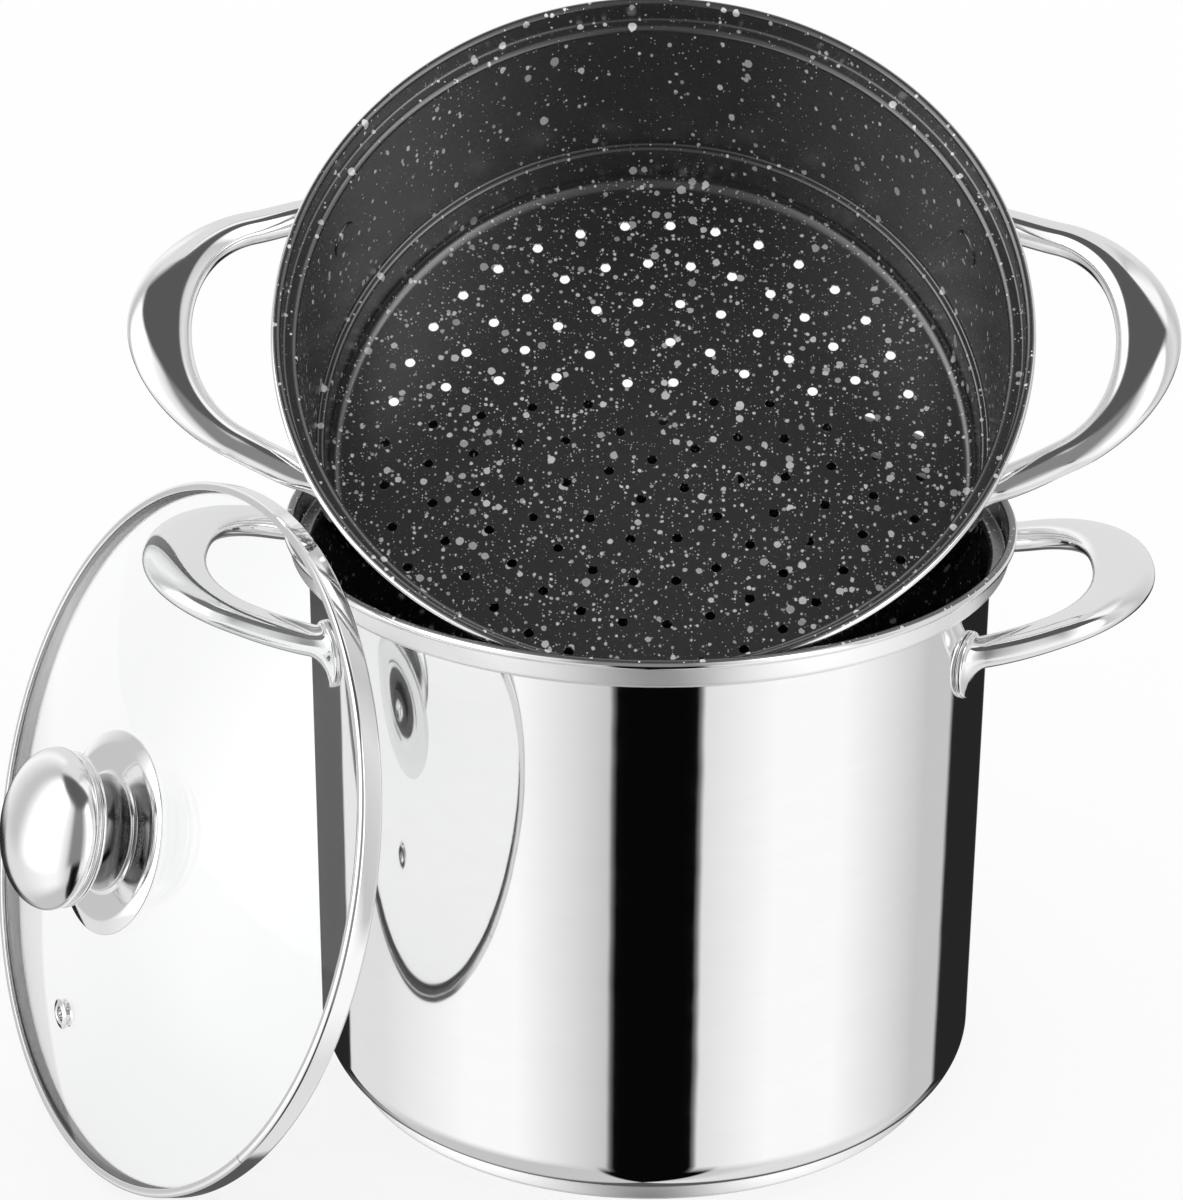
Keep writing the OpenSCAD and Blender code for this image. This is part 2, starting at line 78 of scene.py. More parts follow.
FOOT_T = 2.2
RIVET_DEPTH = 37.0
RIVET_HEAD_R = 6.75
RIVET_HEAD_T = 0.9
LEAN = math.radians(42.9)
LID_R = 124.0
BAND_H = 8.5
BAND_T = 0.6
BAND_BEND = 1.2
LIP_W = 2.8
SEAT_LIP_W = 4.0
GLASS_RISE = 23.5
GLASS_T = 3.6
VENT_R = 75.6
VENT_TURN = -9.9
LID_LEAN = 18.8
LID_TURN = 213.8
KNOB_R = 27.9
DOME_H = 14.6
KNOB_H = 20.5
SAUCER_R = 35.3
KNOB_SHEET = 0.8
NECK_R = 13.5
INSERT_R = 5.0
GASKET_T = 0.6

# The scene's own: the coating's ends on the beads, the place where a handle's loop passes into its run
# to the foot and the band's seam, in degrees; the depth by which the coating's back is sunk into the
# sheet and half the seam's width, in millimetres; and the steps round a turned shape
POT_COAT_END = 50.0
STEAMER_COAT_END = 62.0
LOOP_END = 72.0
SEAM_TURN = 52.5
COAT_SUNK = 0.03
SEAM_HALF = 0.22
SEGS = 320
KNOB_SEGS = 192

# Places of the three things, in millimetres
contact_z = POT_H - SEAT_DEPTH + SHEET / 2 + COAT
contact_r = POT_MID - SHEET / 2 - 0.1
corner_r = LOWER_MID + SHEET / 2 - STEAMER_CORNER * 0.35
corner_drop = STEAMER_DEPTH - STEAMER_CORNER * 0.35
steamer_z = contact_z + BEAD_R + 0.15 + BEAD_AT * math.sin(LEAN) + BEAD_R * math.cos(LEAN) + 0.9
corner_sin = (contact_z - steamer_z + corner_drop * math.cos(LEAN)) / (corner_r * math.sin(LEAN))
corner_x = corner_r * math.sqrt(1 - corner_sin ** 2)
steamer_y = (math.sqrt(contact_r ** 2 - corner_x ** 2) - corner_r * corner_sin * math.cos(LEAN)
             - corner_drop * math.sin(LEAN) - 0.15)

GLASS_EDGE = LID_R - LIP_W
GLASS_R = (GLASS_EDGE ** 2 + GLASS_RISE ** 2) / (2 * GLASS_RISE)
GLASS_TOP = BAND_H - BAND_T + GLASS_RISE

IN_POT = Matrix.Translation((0, 0, POT_H))
IN_STEAMER = Matrix.Translation((0, steamer_y, steamer_z)) @ Matrix.Rotation(LEAN, 4, "X")
# The lid's middle is read off the band's solid
low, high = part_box("lid_rim")
lid_turn = Matrix.Rotation(math.radians(LID_TURN), 4, "Z") @ Matrix.Rotation(math.radians(90 - LID_LEAN), 4, "Y")
lid_normal = lid_turn.to_3x3() @ Vector((0, 0, 1))
IN_LID = Matrix.Translation((low + high) * 500 - lid_normal * BAND_H / 2) @ lid_turn
ON_KNOB = IN_LID @ Matrix.Translation((0, 0, GLASS_TOP))


# Mesh helpers. Shapes are drawn in millimetres in their own frame and turned to metres in place.

def arc(cx, cz, r, a0, a1, n=12):
    """Points of a circle's arc, angles in degrees."""
    return [(cx + r * math.cos(math.radians(a0 + (a1 - a0) * i / n)),
             cz + r * math.sin(math.radians(a0 + (a1 - a0) * i / n))) for i in range(n + 1)]


def wire(cx, cz, r):
    """Closed round outline of a rolled edge."""
    return arc(cx, cz, r, 0, 337.5, 15)


def join(bm, ring, other):
    """Faces between two rings of vertices."""
    for k in range(len(ring)):
        k2 = (k + 1) % len(ring)
        bm.faces.new((ring[k], ring[k2], other[k2], other[k]))


def piece(name, bm, place, material, stands_for, sharp=32.0):
    """Makes an object of a mesh, smooth but for edges sharper than the angle, in place of a CAD node."""
    bmesh.ops.recalc_face_normals(bm, faces=bm.faces[:])
    for face in bm.faces:
        face.smooth = True
    for edge in bm.edges:
        edge.smooth = len(edge.link_faces) == 2 and edge.calc_face_angle(0) < math.radians(sharp)
    mesh = bpy.data.meshes.new(name)
    bm.to_mesh(mesh)
    bm.free()
    mesh.transform(Matrix.Scale(0.001, 4) @ place)
    obj = bpy.data.objects.new(name, mesh)
    scene.collection.objects.link(obj)
    mesh.materials.append(material)
    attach(obj, "root")
    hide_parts(stands_for)
    return obj


def revolve(bm, outline, segs=256, closed=True):
    """Turns a list of (radius, height) round the z axis. Returns the rings."""
    rings = []
    for r, z in outline:
        if r < 1e-4:
            rings.append([bm.verts.new((0, 0, z))])
        else:
            rings.append([bm.verts.new((r * math.cos(2 * math.pi * k / segs),
                                        r * math.sin(2 * math.pi * k / segs), z)) for k in range(segs)])
    pairs = list(zip(rings, rings[1:]))
    if closed:
        pairs.append((rings[-1], rings[0]))
    for a, b in pairs:
        if len(a) > 1 and len(b) > 1:
            join(bm, a, b)
        elif len(a) > 1:
            for k in range(segs):
                bm.faces.new((a[k], a[(k + 1) % segs], b[0]))
        elif len(b) > 1:
            for k in range(segs):
                bm.faces.new((a[0], b[k], b[(k + 1) % segs]))
    return rings


# Sections of pot and steamer, heights from the top of the rim

def mouth(mid, side):
    """Wall and seat of a vessel from below the seat upward, on the outside (1) or the inside (-1)."""
    half = SHEET / 2
    low_r = SEAT_BEND - side * half
    high_r = SEAT_BEND + side * half
    return (arc(mid + SEAT_BEND, -SEAT_DEPTH - SEAT_BEND, low_r, 180, 90)
            + arc(SEAT_MID - SEAT_BEND, -SEAT_DEPTH + SEAT_BEND, high_r, -90, 0))


def rim_bead():
    """Rolled bead from its junction with the outside of the seat to that with the inside."""
    outer = SEAT_MID + SHEET / 2 - BEAD_AT
    inner = SEAT_MID - SHEET / 2 - BEAD_AT
    start = math.degrees(math.atan2(-math.sqrt(BEAD_R ** 2 - outer ** 2), outer))
    end = 360 + math.degrees(math.atan2(-math.sqrt(BEAD_R ** 2 - inner ** 2), inner))
    return arc(BEAD_AT, -BEAD_R, BEAD_R, start, end, 36)


def lower_part(side, depth, mid, corner):
    """Round corner and wall from the bottom up, on the outside or inside of the sheet."""
    return arc(mid - corner, -depth + corner, corner + side * SHEET / 2, -90, 0, 20)


def steamer_step(side):
    """The step that seats the steamer, from below upward."""
    b = SEAT_BEND
    c = SEAT_BEND * 0.6
    half = SHEET / 2
    return (arc(LOWER_MID + c, -STEP_DEPTH - c, c - side * half, 180, 90)
            + arc(STEAMER_MID - b, -STEP_DEPTH + b, b + side * half, -90, 0))


def coat_line(mid, step, low_part, off, coat_end):
    """The coating's face at a distance off the sheet's inside, from the rim down."""
    half = SHEET / 2
    b = SEAT_BEND
    inner = SEAT_MID - half - BEAD_AT
    line = []
    for i in range(25):
        a = coat_end + (200 - coat_end) * i / 24
        r = BEAD_R + off * min(1.0, 0.15 + i / 3)
        line.append((BEAD_AT + r * math.cos(math.radians(a)), -BEAD_R + r * math.sin(math.radians(a))))
    line = [p for p in line if p[1] > -BEAD_R or p[0] > BEAD_AT]
    line.append((SEAT_MID - half - off, -BEAD_R - 0.9))
    line += arc(SEAT_MID - b, -SEAT_DEPTH + b, b - half - off, 0, -90)
    line += arc(mid + b, -SEAT_DEPTH - b, b + half + off, 90, 180)
    if step:
        c = b * 0.6
        line += arc(STEAMER_MID - b, -STEP_DEPTH + b, b - half - off, 0, -90)
        line += arc(LOWER_MID + c, -STEP_DEPTH - c, c + half + off, 90, 180)
    mid2, corner, depth = low_part
    line += arc(mid2 - corner, -depth + corner, corner - half - off, 0, -90, 20)
    return line


POT_LOW = (POT_MID, POT_CORNER, POT_H - POT_FLOOR)
STEAMER_LOW = (LOWER_MID, STEAMER_CORNER, STEAMER_DEPTH)


def holes():
    """Middles of the steam holes."""
    found = [(0.0, 0.0)]
    for ring, (count, turn) in enumerate(zip(HOLE_COUNTS, HOLE_TURNS), 1):
        for i in range(count):
            a = math.radians(turn + 360 * i / count)
            found.append((ring * HOLE_PITCH * math.cos(a), ring * HOLE_PITCH * math.sin(a)))
    return found


def holed_disc(bm, edge, z, radius, sides=28):
    """Flat disc with the steam holes in it, joined to a ring of vertices. Returns a ring for each hole."""
    points = [Vector((v.co.x, v.co.y)) for v in edge]
    edges = [(i, (i + 1) % len(edge)) for i in range(len(edge))]
    centres = holes()
    for cx, cy in centres:
        first = len(points)
        for k in range(sides):
            a = 2 * math.pi * k / sides
            points.append(Vector((cx + radius * math.cos(a), cy + radius * math.sin(a))))
            edges.append((first + k, first + (k + 1) % sides))
    out = delaunay_2d_cdt(points, edges, [], 1, 1e-6)
    verts = []
    made = {}
    for i, origin in enumerate(out[3]):
        if origin and origin[0] < len(edge):
            verts.append(edge[origin[0]])
        else:
            v = bm.verts.new((out[0][i].x, out[0][i].y, z))
            verts.append(v)
            if origin:
                made[origin[0]] = v
    for tri in out[2]:
        cx = sum(out[0][i].x for i in tri) / 3
        cy = sum(out[0][i].y for i in tri) / 3
        if min(math.hypot(cx - hx, cy - hy) for hx, hy in centres) > radius * 0.97:
            bm.faces.new([verts[i] for i in tri])
    return [[made[len(edge) + n * sides + k] for k in range(sides)] for n in range(len(centres))]


def wall_between(bm, ring, drop, shrink, centre):
    """A copy of a ring, lower by drop and closer to its centre by shrink, joined to it."""
    copy = []
    for v in ring:
        d = Vector((v.co.x - centre[0], v.co.y - centre[1]))
        d = d * (1 - shrink / d.length)
        copy.append(bm.verts.new((centre[0] + d.x, centre[1] + d.y, v.co.z - drop)))
    join(bm, ring, copy)
    return copy


# Handles: the same loop as in part.scad, with more stations and a softer run from foot to arm

class Grip:
    """The loop of a handle, by its angle seen from above, 0 at its outermost point."""

    def __init__(self, wall, span, arm, depth, start, square, rise, power):
        self.wall, self.span, self.arm, self.depth = wall, span, arm, depth
        self.start, self.square, self.rise, self.power = start, square, rise, power

    def share(self, a):
        """Distance from the middle plane and its share of the way from the wall to the outermost point."""
        x = self.start + (GRIP_X - self.start) * max(math.cos(a), 0) ** (2 / self.square)
        return x, (x - self.wall) / (GRIP_X - self.wall)

    def point(self, a):
        x, share = self.share(a)
        y = self.span * math.copysign(abs(math.sin(a)) ** (2 / self.square), math.sin(a))
        return Vector((x, y, -self.depth + self.rise * share))

    def half(self, a):
        """Half the width of the loop."""
        return self.arm / 2 + (GRIP_W - self.arm) / 2 * self.share(a)[1] ** self.power

    def ring(self, a, n):
        """Oval section of the loop."""
        h = math.radians(1)
        limit = math.radians(89)
        along = (self.point(min(a + h, limit)) - self.point(max(a - h, -limit))).normalized()
        out = along.cross(Vector((0, 0, 1))).normalized()
        up = out.cross(along)
        half = self.half(a)
        middle = self.point(a)
        return [middle + out * half * math.cos(t) + up * GRIP_T / 2 * math.sin(t)
                for t in (2 * math.pi * k / n for k in range(n))]

    def pad(self):
        """Middle and half height of the oval pad."""
        top = self.depth - self.arm / 2 - 1
        return -(top + FOOT_BOTTOM) / 2, (FOOT_BOTTOM - top) / 2

    def foot(self, side, off, size, n):
        """Oval on the wall, off it by a distance."""
        middle, high = self.pad()
        r = self.wall + off
        ring = []
        for k in range(n):
            t = 2 * math.pi * k / n
            turn = side * (math.radians(FOOT_ANGLE) + size * FOOT_W / 2 * math.cos(t) / self.wall)
            ring.append(Vector((r * math.cos(turn), r * math.sin(turn), middle + size * high * math.sin(t))))
        return ring

    def run(self, side, n, fillet=4.2, size=0.88, steps=22):
        """Rings from the pad, with a fillet, along a curve into the loop's end."""
        limit = math.radians(LOOP_END)
        h = math.radians(1)
        middle, high = self.pad()
        foot = math.radians(FOOT_ANGLE) * side
        normal = Vector((math.cos(foot), math.sin(foot), 0))
        start = normal * (self.wall + FOOT_T - 0.2) + Vector((0, 0, -self.depth))
        end = self.point(side * limit)
        ahead = (self.point(side * (limit - h)) - end).normalized()
        length = (end - start).length
        chord = (end - start).normalized()
        end_half = self.half(limit)
        pull = length * 0.33
        points = [start, start + (normal * 0.25 + chord * 0.75) * pull, end - ahead * pull, end]
        rings = []
        for i in range(steps):
            t = (i / steps) ** 1.5
            u = 1 - t
            centre = (points[0] * u ** 3 + points[1] * 3 * u * u * t + points[2] * 3 * u * t * t + points[3] * t ** 3)
            d = ((points[1] - points[0]) * u * u + (points[2] - points[1]) * 2 * u * t
                 + (points[3] - points[2]) * t * t).normalized()
            far = min((centre - start).length / fillet, 1.0)
            flare = 1 - math.sqrt(1 - (1 - far) ** 2)
            turn = (1 - min((centre - start).length / (fillet * 2), 1.0)) ** 2
            d = (normal * turn + d * (1 - turn)).normalized()
            out = (d.cross(Vector((0, 0, 1))) * -side).normalized()
            lift = out.cross(d * -side)
            arm = self.arm / 2 + (end_half - self.arm / 2) * t ** 1.5
            wide = arm + (size * FOOT_W / 2 - arm) * flare
            top = GRIP_T / 2 + max(middle + size * high + self.depth - GRIP_T / 2, 0.7) * flare
            low = GRIP_T / 2 + (-self.depth - GRIP_T / 2 - middle + size * high) * flare
            rings.append([centre + out * wide * math.cos(a) + lift * (top if math.sin(a) > 0 else low) * math.sin(a)
                          for a in (2 * math.pi * k / n for k in range(n))])
        return rings


def handle(name, grip, place, material, mirrored):
    """A grip from foot to foot. The left one is the right one mirrored."""
    n = 48
    steps = 110
    start = math.radians(LOOP_END)

    def end(side):
        pad = [grip.foot(side, 0.06, 0.5, n), grip.foot(side, 0.06, 0.955, n), grip.foot(side, 0.3, 0.985, n)]
        for i in range(1, 7):
            a = math.radians(90 * i / 6)
            pad.append(grip.foot(side, 0.3 + (FOOT_T - 0.5) * math.sin(a), 0.985 - 0.075 * (1 - math.cos(a)), n))
        return pad + grip.run(side, n)

    rings = end(-1) + [grip.ring(-start + 2 * start * i / steps, n) for i in range(steps + 1)] + end(1)[::-1]
    bm = bmesh.new()
    made = [[bm.verts.new(p) for p in ring] for ring in rings]
    for a, b in zip(made, made[1:]):
        join(bm, a, b)
    for ring in (made[0], made[-1]):
        bm.faces.new(ring)
    if mirrored:
        bmesh.ops.scale(bm, vec=(-1, 1, 1), verts=bm.verts[:])
    piece(name.replace("handle", "grip"), bm, place, material, name, sharp=60)


# Materials. Textures use each thing's own frame in millimetres, so they tilt with it.

class Net:
    """Adds nodes to a tree. Inputs are numbers, colours or the sockets of other nodes."""

    def __init__(self, tree):
        self.tree = tree

    def add(self, kind, inputs=None, out=0, **settings):
        node = self.tree.nodes.new("ShaderNode" + kind)
        for key, value in settings.items():
            setattr(node, key, value)
        for key, value in (inputs or {}).items():
            self.put(node.inputs[key], value)
        return node.outputs[out]

    def put(self, socket, value):
        if isinstance(value, bpy.types.NodeSocket):
            self.tree.links.new(value, socket)
        else:
            socket.default_value = value

    def math(self, operation, a, b=0.0, c=0.0, clamp=False):
        return self.add("Math", {0: a, 1: b, 2: c}, operation=operation, use_clamp=clamp)

    def blend(self, share, a, b):
        return self.math("ADD", a, self.math("MULTIPLY", share, self.math("SUBTRACT", b, a)))

    def noise(self, at, scale, detail=2.0, rough=0.5):
        return self.add("TexNoise", {"Vector": at, "Scale": scale, "Detail": detail, "Roughness": rough}, "Fac")

    def stretch(self, at, scale):
        return self.add("Mapping", {"Vector": at, "Scale": scale})

    def grey(self, value):
        return self.add("CombineColor", {0: value, 1: value, 2: value})


def material(name, place):
    mat = bpy.data.materials.new(name)
    mat.use_nodes = True
    net = Net(mat.node_tree)
    back = place.inverted()
    at = net.add("Mapping", {"Vector": net.add("TexCoord", out="Object"), "Location": back.to_translation(),
                             "Rotation": back.to_euler(), "Scale": (1000, 1000, 1000)})
    return mat, net, mat.node_tree.nodes["Principled BSDF"], at


def steel(name, place, rough=0.035, wave=0.00008, seam=False, satin=None, painted_shade_r=None):
    """Mirror-polished sheet: faint waves of the pressing, ring marks and wiped smears.
    satin gives two heights between which it is only brushed, painted_shade_r the radius within which the neck gets a
    rougher finish and a painted shade: a darker tone standing in for the shade between saucer and dome."""
    mat, net, bsdf, at = material(name, place)
    slow = net.noise(at, 0.032, 1.5)
    smear = net.noise(net.stretch(at, (0.5, 0.5, 1.6)), 0.09, 3.0, 0.6)
    rings = net.noise(net.stretch(at, (0.03, 0.03, 3.5)), 1.0, 2.0)
    tone = net.blend(smear, 0.885, 0.925)
    shine = net.blend(net.math("MULTIPLY", smear, smear), rough, rough * 2.2)
    if seam:
        x, y = (net.add("SeparateXYZ", {0: at}, i) for i in (0, 1))
        turn = math.radians(SEAM_TURN)
        off = net.math("ABSOLUTE", net.math("SUBTRACT", net.math("MULTIPLY", x, -math.sin(turn)),
                                            net.math("MULTIPLY", y, -math.cos(turn))))
        ahead = net.math("GREATER_THAN", net.math("ADD", net.math("MULTIPLY", x, math.cos(turn)),
                                                  net.math("MULTIPLY", y, math.sin(turn))), 0.0)
        line = net.math("MULTIPLY", net.math("LESS_THAN", off, SEAM_HALF), ahead)
        tone = net.blend(line, tone, 0.25)
        shine = net.blend(line, shine, 0.4)
    if satin:
        z = net.add("SeparateXYZ", {0: at}, 2)
        zone = net.math("MULTIPLY", net.math("GREATER_THAN", z, satin[0]), net.math("LESS_THAN", z, satin[1]))
        shine = net.blend(zone, shine, net.blend(smear, 0.36, 0.44))
        tone = net.blend(zone, tone, 0.99)
    # Painted shade: within the radius the neck's tone is darkened as if shaded by saucer and dome, and its finish is
    # made rougher
    if painted_shade_r:
        x, y = (net.add("SeparateXYZ", {0: at}, i) for i in (0, 1))
        radius = net.math("SQRT", net.math("ADD", net.math("MULTIPLY", x, x), net.math("MULTIPLY", y, y)))
        inner = net.math("MULTIPLY", net.math("SUBTRACT", painted_shade_r, radius), 0.25, clamp=True)
        tone = net.blend(inner, tone, net.blend(rings, 0.14, 0.2))
        shine = net.blend(inner, shine, 0.2)
    net.put(bsdf.inputs["Base Color"], net.grey(tone))
    net.put(bsdf.inputs["Roughness"], shine)
    bsdf.inputs["Metallic"].default_value = 1.0
    height = net.math("ADD", slow, net.math("MULTIPLY", rings, 0.004))
    net.put(bsdf.inputs["Normal"], net.add("Bump", {"Height": height, "Distance": wave, "Strength": 1.0}))
    return mat


def specks(net, at, cell, size, share):
    """Round spots of up to a size in a share of the cells, in millimetres, and their random tone."""
    spots = net.add("TexVoronoi", {"Vector": at, "Scale": 1 / cell, "Randomness": 1.0}, "Distance")
    luck = net.add("SeparateColor", {0: spots.node.outputs["Color"]}, 0)
    tone = net.add("SeparateColor", {0: spots.node.outputs["Color"]}, 1)
    above = net.math("MAXIMUM", net.math("ADD", net.math("SUBTRACT", luck, 1.0), share), 0.0)
    radius = net.math("DIVIDE", net.math("MULTIPLY", above, size / cell), share)
    return net.math("MULTIPLY", net.math("SUBTRACT", radius, spots), 8 * cell, clamp=True), tone


def nonstick(name, place, floor_z):
    """Black coating with pale specks, dense on the bottom, sparser and drawn out on the wall."""
    mat, net, bsdf, at = material(name, place)
    shake = net.add("TexNoise", {"Vector": at, "Scale": 0.9, "Detail": 1.0}, "Color")
    shake = net.add("VectorMath", {0: shake, 1: (0.5, 0.5, 0.5)}, operation="SUBTRACT")
    warped = net.add("VectorMath", {0: shake, 1: (0.7, 0.7, 0.7), 2: at}, operation="MULTIPLY_ADD")
    tall = net.stretch(warped, (1, 1, 0.55))
    on_floor = net.math("LESS_THAN", net.add("SeparateXYZ", {0: at}, 2), floor_z)
    total = None
    for cell, size, low_share, high_share in ((4.6, 1.75, 0.6, 0.22), (2.2, 0.85, 0.8, 0.3), (1.1, 0.36, 0.75, 0.3)):
        mask, tone = specks(net, tall, cell, size, net.blend(on_floor, high_share, low_share))
        value = net.math("MULTIPLY", mask, net.math("MULTIPLY_ADD", tone, 0.5, 0.48))
        total = value if total is None else net.math("MAXIMUM", total, value)
    grain = net.noise(at, 2.6, 2.0, 0.65)
    cloud = net.noise(at, 0.05, 1.0)
    black = net.blend(grain, 0.008, 0.026)
    net.put(bsdf.inputs["Base Color"], net.grey(net.math("MAXIMUM", black, total)))
    net.put(bsdf.inputs["Roughness"], net.math("ADD", net.blend(cloud, 0.2, 0.25), net.math("MULTIPLY", grain, 0.05)))
    bsdf.inputs["IOR"].default_value = 1.8
    bsdf.inputs["Specular IOR Level"].default_value = 1.0
    height = net.math("ADD", net.math("MULTIPLY", grain, 0.6), total)
    net.put(bsdf.inputs["Normal"], net.add("Bump", {"Height": height, "Distance": 0.00003, "Strength": 1.0}))
    return mat


def clear_glass(name, place):
    """Glass with faint smears. Its index is lower than real, for weaker reflections of the white studio."""
    mat, net, bsdf, at = material(name, place)
    bsdf.inputs["Base Color"].default_value = (0.988, 0.996, 0.993, 1)
    bsdf.inputs["Transmission Weight"].default_value = 1.0
    bsdf.inputs["IOR"].default_value = 1.36
    smear = net.noise(at, 0.06, 3.0, 0.6)
    haze = net.math("MAXIMUM", net.math("SUBTRACT", smear, 0.5), 0.0)
    net.put(bsdf.inputs["Roughness"], net.math("MULTIPLY", haze, 0.02))
    wave = net.noise(at, 0.02, 1.0)
    net.put(bsdf.inputs["Normal"], net.add("Bump", {"Height": wave, "Distance": 0.0001, "Strength": 1.0}))
    return mat


def plain(name, place, low, high, rough, metal):
    """Matt metal or rubber with a fine grain."""
    mat, net, bsdf, at = material(name, place)
    grain = net.noise(at, 1.6, 3.0, 0.6)
    net.put(bsdf.inputs["Base Color"], net.grey(net.blend(net.noise(at, 0.15, 2.0), low, high)))
    net.put(bsdf.inputs["Roughness"], net.blend(grain, rough, rough + 0.12))
    bsdf.inputs["Metallic"].default_value = metal
    net.put(bsdf.inputs["Normal"], net.add("Bump", {"Height": grain, "Distance": 0.00002, "Strength": 1.0}))
    return mat


pot_steel = steel("pot_steel", IN_POT, satin=(-SEAT_DEPTH - 1.6, -2 * BEAD_R + 0.3))
base_steel = steel("base_steel", Matrix(), satin=(-1, 2 * POT_FLOOR))
steamer_steel = steel("steamer_steel", IN_STEAMER)
cast_steel = steel("cast_steel", IN_POT, rough=0.05, wave=0.00015)
steamer_cast = steel("steamer_cast_steel", IN_STEAMER, rough=0.05, wave=0.00015)
band_steel = steel("band_steel", IN_LID, rough=0.06, seam=True)
knob_steel = steel("knob_steel", IN_LID, rough=0.06)
dome_steel = steel("dome_steel", IN_LID, rough=0.11)
# The neck's steel has a painted shade within 21 mm of the knob's axis
neck_steel = steel("neck_steel", IN_LID, rough=0.06, painted_shade_r=21.0)
pot_black = nonstick("pot_nonstick", IN_POT, POT_FLOOR + 6 - POT_H)
steamer_black = nonstick("steamer_nonstick", IN_STEAMER, 3 - STEAMER_DEPTH)
glass = clear_glass("lid_glass", IN_LID)
grey_rubber = plain("grey_silicone", IN_LID, 0.12, 0.17, 0.5, 0.0)
raw_aluminium = plain("raw_aluminium", Matrix(), 0.6, 0.7, 0.35, 1.0)

for name, mat in (("base_core", raw_aluminium), ("knob_insert", raw_aluminium), ("lid_seal", grey_rubber),
                  ("knob_gasket", grey_rubber), ("glass_gasket", grey_rubber), ("knob_washer", knob_steel),
                  ("knob_screw", knob_steel)):
    for slot in nodes[name].material_slots:
        slot.material = mat


# Outline helpers for the lid and knob

def rounded(path, r, n=6):
    """A path whose inner corners are rounded over a length r."""
    points = [Vector(p) for p in path]
    out = [tuple(points[0])]
    for a, b, c in zip(points, points[1:], points[2:]):
        p = b + (a - b).normalized() * min(r, (a - b).length / 2)
        q = b + (c - b).normalized() * min(r, (c - b).length / 2)
        for i in range(n + 1):
            t = i / n
            out.append(tuple(p * (1 - t) ** 2 + b * 2 * t * (1 - t) + q * t * t))
    out.append(tuple(points[-1]))
    return out


def strip(path, t):
    """Closed outline of a sheet of thickness t whose middle follows a path, with round edges."""
    left, right = [], []
    for i, p in enumerate(path):
        a, b = Vector(path[max(i - 1, 0)]), Vector(path[min(i + 1, len(path) - 1)])
        d = (b - a).normalized()
        left.append((p[0] - d.y * t / 2, p[1] + d.x * t / 2))
        right.append((p[0] + d.y * t / 2, p[1] - d.x * t / 2))

    def cap(from_point, to_point, middle):
        f, g = Vector(from_point) - Vector(middle), Vector(to_point) - Vector(middle)
        out = Vector((f.y, -f.x))
        return [tuple(Vector(middle) + f * math.cos(a) + out * math.sin(a))
                for a in (math.pi * i / 6 for i in range(1, 6))]

    ends = [cap(left[-1], right[-1], path[-1]), cap(right[0], left[0], path[0])]
    outline = left + (ends[0] if path[-1][0] > 0.01 else []) + right[::-1] + (ends[1] if path[0][0] > 0.01 else [])
    return [(max(r, 0.0), z) for r, z in outline]


def glass_z(r):
    return math.sqrt(GLASS_R ** 2 - r ** 2) - GLASS_R


# Pot

def vessel_outline(mid, low_part, step):
    """Open outline of the sheet, up its outside and down its inside."""
    low_mid, corner, depth = low_part
    out = lower_part(1, depth, low_mid, corner) + (steamer_step(1) if step else []) + mouth(mid, 1) + rim_bead()
    inside = lower_part(-1, depth, low_mid, corner) + (steamer_step(-1) if step else []) + mouth(mid, -1)
    return out + inside[::-1]


def clean(outline):
    """Drops points that lie on the one before."""
    kept = [outline[0]]
    for p in outline[1:]:
        if math.dist(p, kept[-1]) > 1e-4:
            kept.append(p)
    return kept


bm = bmesh.new()
depth = POT_LOW[2]
sheet = vessel_outline(POT_MID, POT_LOW, False)
revolve(bm, clean([(0, -depth - SHEET / 2)] + sheet + [(0, -depth + SHEET / 2)]), SEGS)
piece("pot_shell", bm, IN_POT, pot_steel, "pot_body")

bm = bmesh.new()
front = coat_line(POT_MID, False, POT_LOW, COAT, POT_COAT_END)
back = coat_line(POT_MID, False, POT_LOW, -COAT_SUNK, POT_COAT_END)
revolve(bm, clean([(0, -depth + SHEET / 2 + COAT)] + front[::-1] + back + [(0, -depth + SHEET / 2 - COAT_SUNK)]), SEGS)
piece("pot_nonstick", bm, IN_POT, pot_black, "pot_coating")

bm = bmesh.new()
cap_top = CAP_SHEET + CORE_T + 0.7
revolve(bm, [(0, 0)] + arc(CAP_R - 1.7, 1.7, 1.7, -90, 0) + arc(CAP_R - 0.3, cap_top - 0.3, 0.3, 0, 180, 8)
        + arc(CAP_R - 1.7, 1.7, 1.1, 0, -90) + [(0, CAP_SHEET)], SEGS)
piece("base_plate", bm, Matrix(), base_steel, "base_cap")

# Steamer

bm = bmesh.new()
rings = revolve(bm, clean(vessel_outline(STEAMER_MID, STEAMER_LOW, True)), SEGS, closed=False)
below = holed_disc(bm, rings[0], -STEAMER_DEPTH - SHEET / 2, HOLE_D / 2)
above = holed_disc(bm, rings[-1], -STEAMER_DEPTH + SHEET / 2, HOLE_D / 2)
for low_ring, high_ring in zip(below, above):
    join(bm, low_ring, high_ring)
piece("steamer_shell", bm, IN_STEAMER, steamer_steel, "steamer_body")

bm = bmesh.new()
front = coat_line(STEAMER_MID, True, STEAMER_LOW, COAT, STEAMER_COAT_END)
back = coat_line(STEAMER_MID, True, STEAMER_LOW, -COAT_SUNK, STEAMER_COAT_END)
rings = revolve(bm, clean(front[::-1] + back), SEGS, closed=False)
above = holed_disc(bm, rings[0], -STEAMER_DEPTH + SHEET / 2 + COAT, HOLE_D / 2 + 0.14)
below = holed_disc(bm, rings[-1], -STEAMER_DEPTH + SHEET / 2 - COAT_SUNK, HOLE_D / 2 + 0.01)
for (cx, cy), top_ring, low_ring in zip(holes(), above, below):
    mid_ring = wall_between(bm, top_ring, 0.1, 0.11, (cx, cy))
    join(bm, mid_ring, low_ring)
piece("steamer_nonstick", bm, IN_STEAMER, steamer_black, "steamer_coating")

# Handles

